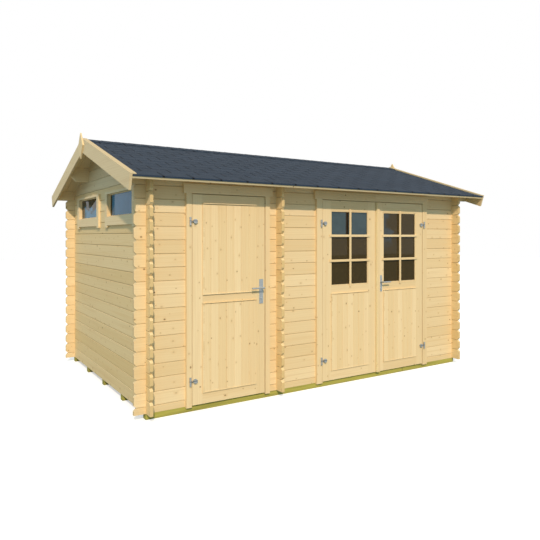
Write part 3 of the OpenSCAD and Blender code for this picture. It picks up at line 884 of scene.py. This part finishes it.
class SUMMERHOUSE_OT_door_panels(bpy.types.Operator):
    """Fills the door panels with upright boards on both faces and beads across their ends"""
    bl_idname = "summerhouse.door_panels"
    bl_label = "Door panels"

    def execute(self, context):
        s = settings()
        wood = tuple(s.timber)
        bottom_rail, top_rail, gap = 0.092, 0.084, 0.0004
        doors = (("single_door_leaf", "single_door", SINGLE_STILE, 0.075, True),
                 ("left_leaf", "left_door", PAIR_STILE, 0.085, False),
                 ("right_leaf", "right_door", PAIR_STILE, 0.085, False))
        for node, body, stile, lock_rail, upper in doors:
            low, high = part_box(node)
            fields = [(low.z + bottom_rail, LOCK)]
            if upper:
                fields.append((LOCK + lock_rail, high.z - top_rail))
            start, stop = low.x + stile, high.x - stile
            count = round((stop - start) / s.panel_board)
            width = (stop - start) / count
            boards, beads = [], []
            for bottom, top in fields:
                for outer, inner in ((low.y - 0.008, low.y + 0.012), (high.y - 0.0055, high.y - 0.012)):
                    board = block("panel_board", (start + gap, min(outer, inner), bottom + 0.001),
                                  (start + width - gap, max(outer, inner), top - 0.001))
                    bevel_edges(board, lambda a, b: abs(a.y - outer) < NEAR and abs(b.y - outer) < NEAR
                                and abs(a.z - b.z) > LONG, 0.002)
                    boards.append(repeat(board, (width, 0, 0), count))
                upmost = top > LOCK + 0.1
                for edge, depth, tall in (
                        (bottom, 0.0125 if bottom > LOCK else 0.0105, 0.008),
                        (top, 0.0195 if upmost else 0.0155, 0.008 if upmost else 0.0045)):
                    face, foot = low.y - depth, edge + 0.003
                    bead = block("bead", (start, face, foot), (stop, low.y - 0.0005, foot + tall))
                    beads.append(bevel_edges(bead, lambda a, b: max(a.y, b.y) < face + NEAR
                                             and abs(a.x - b.x) > LONG, 0.0015, 2))
                face = low.y - 0.0092
                strip = block("edge_strip", (start + gap, face, bottom + 0.004),
                              (start + 0.019, low.y - 0.0075, top + 0.002))
                beads.append(bevel_edges(strip, lambda a, b: abs(a.z - b.z) > LONG
                                         and a.y < face + NEAR, 0.001))
            piece = joined(boards, node + "_boards")
            finish_piece(piece, timber(node + "_board_timber", shade(wood, 1.05), pick_z, pick_x, pick_y,
                                       board_of(0, width, start), 90.0 + stile * 100, knots=1.15), body)
            finish_piece(joined(beads, node + "_beads"),
                         timber(node + "_bead_timber", wood, pick_x, pick_z, pick_y,
                                board_of(2, 0.05, 0.0), 95.0 + stile * 100, knots=0.3), body)
        return {"FINISHED"}


class SUMMERHOUSE_OT_window_bars(bpy.types.Operator):
    """Adds the glazing bars and beads of the double doors and the beads of the end windows"""
    bl_idname = "summerhouse.window_bars"
    bl_label = "Window bars and beads"

    def execute(self, context):
        s = settings()
        wood = tuple(s.timber)
        half = s.bar / 2
        post_depth, rail_depth, bead = 0.0095, 0.0102, 0.01
        tuck = 0.02    # the outer bars run this far past the glass
        upright = timber("bar_timber_upright", wood, pick_z, pick_x, pick_y, steady(6.0), 101.0, knots=0.3)
        level = timber("bar_timber_level", wood, pick_x, pick_z, pick_y, row_of(0.0), 103.0, knots=0.3)
        for side, body in (("left", "left_door"), ("right", "right_door")):
            low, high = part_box(side + "_leaf_glass")
            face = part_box(side + "_leaf")[0].y
            rear = high.y
            start, stop = (low.x + high.x) / 2 - half, (low.x + high.x) / 2 + half
            posts = [self.bar("post", (start, face - post_depth, low.z - tuck),
                              (stop, face, high.z + tuck), face - post_depth),
                     self.bar("inner_post", (start, rear, low.z + bead),
                              (stop, rear + post_depth, high.z - bead), rear + post_depth)]
            finish_piece(joined(posts, side + "_upright_bar"), upright, body)
            third = (high.z - low.z) / 3
            rails = []
            for z in (low.z + third, low.z + 2 * third):
                rails.append(self.bar("rail", (low.x - tuck, face - rail_depth, z - half),
                                      (high.x + tuck, face, z + half), face - rail_depth))
                rails.append(self.bar("inner_rail", (low.x + bead, rear, z - half),
                                      (high.x - bead, rear + rail_depth, z + half), rear + rail_depth))
            finish_piece(joined(rails, side + "_level_bars"), level, body)
            beads = []
            for front, back in ((low.y - bead, low.y), (rear, rear + 0.005)):
                for z in (low.z, high.z - bead):
                    beads.append(block("bead", (low.x, front, z), (high.x, back, z + bead)))
                for x in (low.x, high.x - bead):
                    beads.append(block("bead", (x, front, low.z + bead), (x + bead, back, high.z - bead)))
            finish_piece(bevel_all(joined(beads, side + "_glazing_beads"), 0.002), upright, body)
        self.end_windows(level)
        return {"FINISHED"}

    def bar(self, name, low, high, shown):
        """A bar with the edges of its shown face rounded."""
        return bevel_edges(block(name, low, high), lambda a, b: abs(a.y - shown) < NEAR
                           and abs(b.y - shown) < NEAR, 0.003, 2)

    def end_windows(self, finish):
        low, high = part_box("window_glass")
        centre = (low.y + high.y) / 2
        bead = 0.009
        beads = []
        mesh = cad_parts["window_glass"].data
        for side in (-1, 1):
            ys = [v.co.y for v in mesh.vertices if (v.co.y - centre) * side > 0]
            start, stop = min(ys), max(ys)
            for x0, x1 in ((low.x - bead, low.x), (high.x, high.x + 0.005)):
                for z in (low.z, high.z - bead):
                    beads.append(block("bead", (x0, start, z), (x1, stop, z + bead)))
                for y in (start, stop - bead):
                    beads.append(block("bead", (x0, y, low.z + bead), (x1, y + bead, high.z - bead)))
        finish_piece(bevel_all(joined(beads, "end_window_beads"), 0.002), finish, "building")


class SUMMERHOUSE_OT_lock_parts(bpy.types.Operator):
    """Adds the key cylinders and the screws of the handle plates"""
    bl_idname = "summerhouse.lock_parts"
    bl_label = "Key cylinders and screws"

    def execute(self, context):
        steel = steel_finish("screw_steel", shade(tuple(settings().steel), 0.9), 0.3)
        for node, lever, body, drop in (("single_door_plate", "single_door_lever", "single_door", 0.098),
                                        ("right_leaf_plate", "right_leaf_lever", "right_door", 0.072)):
            low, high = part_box(node)
            middle = (low.x + high.x) / 2
            grip_low, grip_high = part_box(lever)
            z = (grip_low.z + grip_high.z) / 2 - drop
            face = low.y
            barrel = rod(node + "_cylinder", (middle, face + 0.002, z), (middle, face - 0.006, z), 0.0085, 32)
            bevel_all(barrel, 0.001)
            wide, tall = 0.001, 0.0045
            key = block("key_way", (middle - wide, face - 0.0066, z - tall),
                        (middle + wide, face - 0.0058, z + tall))
            bevel_all(key, 0.0003, 1)
            screws = [self.screw(middle, face, height) for height in (low.z + 0.012, high.z - 0.012)]
            finish_piece(joined([barrel, key] + screws, node + "_lock_parts"), steel, body)
        return {"FINISHED"}

    def screw(self, x, y, z):
        head = rod("screw", (x, y + 0.0005, z), (x, y - 0.0016, z), 0.004, 24)
        return bevel_all(head, 0.001)


class SUMMERHOUSE_OT_stage(bpy.types.Operator):
    """Sets the pale floor, the soft light and the camera"""
    bl_idname = "summerhouse.stage"
    bl_label = "Floor, light and camera"

    def execute(self, context):
        clear_selection()
        bpy.ops.mesh.primitive_plane_add(size=60, location=(0, 0, -0.0005))
        ground = bpy.context.object
        ground.name = "pale_floor"
        ground.data.materials.append(self.floor_finish())

        sun_from = Vector((-0.3430, -0.7300, 0.5911))
        lamp = bpy.data.lights.new("key_light", "SUN")
        lamp.energy = 2.85
        lamp.angle = math.radians(1.5)
        lamp.color = (1.0, 0.83, 0.7)
        key = bpy.data.objects.new("key_light", lamp)
        key.location = sun_from * 12
        key.rotation_euler = (-sun_from).to_track_quat("-Z", "Y").to_euler()
        context.collection.objects.link(key)
        self.sky(context.scene)

        lens = bpy.data.cameras.new("camera")
        lens.sensor_width = 36
        lens.lens = 35.97
        lens.shift_y = -0.0630
        lens.clip_end = 100
        camera = bpy.data.objects.new("camera", lens)
        camera.location = (-3.4569, -5.5282, 1.5095)
        camera.rotation_euler = (math.pi / 2, 0, -0.5695)
        context.collection.objects.link(camera)
        context.scene.camera = camera
        context.scene.view_settings.view_transform = "Standard"
        return {"FINISHED"}

    def floor_finish(self):
        """Seen directly, the lit floor is white and keeps the shadow. To the object it is mid grey."""
        f = Finish("pale_floor", Roughness=0.95, Specular_IOR_Level=0.05)
        x, y, z = f.place()
        mottle = f.noise(f.vector(x, y, z), 2.0, 2.0)
        seen = f.nodes.new("ShaderNodeLightPath").outputs["Is Camera Ray"]
        tone = f.blend(mottle, (0.71, 0.71, 0.71), (0.69, 0.69, 0.69))
        f.give(Base_Color=f.blend(Field(f, seen), (0.25, 0.30, 0.31), tone),
               Emission_Color=f.blend(Field(f, seen), (0, 0, 0), (0.52, 0.5, 0.48)))
        f.shader.inputs["Emission Strength"].default_value = 1.0
        return f.material

    def sky(self, scene):
        world = bpy.data.worlds.new("soft_sky")
        scene.world = world
        world.use_nodes = True
        nodes, links = world.node_tree.nodes, world.node_tree.links
        light = nodes["Background"]
        light.inputs["Color"].default_value = (0.58, 0.80, 0.94, 1)
        light.inputs["Strength"].default_value = 0.72
        seen = nodes.new("ShaderNodeBackground")
        seen.inputs["Color"].default_value = (1, 1, 1, 1)
        seen.inputs["Strength"].default_value = 1.0
        path = nodes.new("ShaderNodeLightPath")
        rays = path.outputs["Is Camera Ray"]
        for ray in ("Is Glossy Ray", "Is Transmission Ray"):
            larger = nodes.new("ShaderNodeMath")
            larger.operation = "MAXIMUM"
            links.new(rays, larger.inputs[0])
            links.new(path.outputs[ray], larger.inputs[1])
            rays = larger.outputs[0]
        mix = nodes.new("ShaderNodeMixShader")
        links.new(rays, mix.inputs[0])
        links.new(light.outputs[0], mix.inputs[1])
        links.new(seen.outputs[0], mix.inputs[2])
        links.new(mix.outputs[0], nodes["World Output"].inputs[0])


class SUMMERHOUSE_PT_panel(bpy.types.Panel):
    """Shows the settings and the steps of the summerhouse"""
    bl_idname = "SUMMERHOUSE_PT_panel"
    bl_label = "Log summerhouse"
    bl_space_type = "VIEW_3D"
    bl_region_type = "UI"
    bl_category = "Summerhouse"

    def draw(self, context):
        for key in SummerhouseSettings.__annotations__:
            self.layout.prop(context.scene.summerhouse, key)
        for operator in OPERATORS:
            self.layout.operator(operator.bl_idname)


OPERATORS = (
    SUMMERHOUSE_OT_finishes,
    SUMMERHOUSE_OT_roof_boards,
    SUMMERHOUSE_OT_floor_boards,
    SUMMERHOUSE_OT_shingles,
    SUMMERHOUSE_OT_door_panels,
    SUMMERHOUSE_OT_window_bars,
    SUMMERHOUSE_OT_lock_parts,
    SUMMERHOUSE_OT_stage,
)
CLASSES = (SummerhouseSettings, *OPERATORS, SUMMERHOUSE_PT_panel)


def register():
    for cls in CLASSES:
        bpy.utils.register_class(cls)
    bpy.types.Scene.summerhouse = bpy.props.PointerProperty(type=SummerhouseSettings)


def unregister():
    del bpy.types.Scene.summerhouse
    for cls in reversed(CLASSES):
        bpy.utils.unregister_class(cls)


def main():
    register()
    bpy.ops.summerhouse.finishes()
    bpy.ops.summerhouse.roof_boards()
    bpy.ops.summerhouse.floor_boards()
    bpy.ops.summerhouse.shingles()
    bpy.ops.summerhouse.door_panels()
    bpy.ops.summerhouse.window_bars()
    bpy.ops.summerhouse.lock_parts()
    bpy.ops.summerhouse.stage()


if __name__ == "__main__":
    main()
